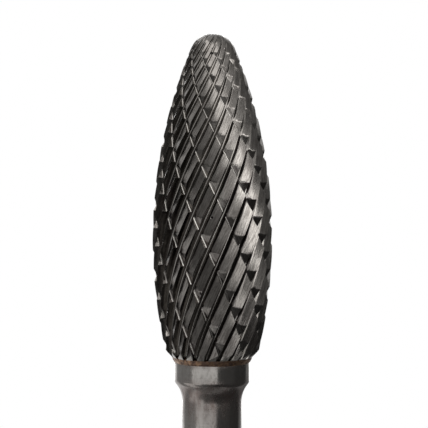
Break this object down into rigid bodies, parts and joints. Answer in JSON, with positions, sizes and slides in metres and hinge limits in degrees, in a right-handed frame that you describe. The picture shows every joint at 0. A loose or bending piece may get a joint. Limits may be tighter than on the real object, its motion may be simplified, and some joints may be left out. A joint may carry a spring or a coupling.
{
  "type": "carbide burr",
  "caption": "Flame-shaped carbide burr with a double cut head brazed to a straight round steel shank, for a die grinder.",
  "frame": {"origin": "centre of the shank's end face", "axes": "+Z along the burr's axis from the shank's end to the nose; the front is -Y"},
  "size_m": [0.0119, 0.012, 0.0775],
  "materials": {
    "carbide": "ground sintered tungsten carbide, dark grey with bright facets",
    "braze": "silver-copper braze, dull golden brown",
    "shank_steel": "fine ground steel, satin"
  },
  "bodies": {
    "root": {"carbide_head": "carbide", "braze_joint": "braze", "steel_shank": "shank_steel"}
  },
  "joints": []
}
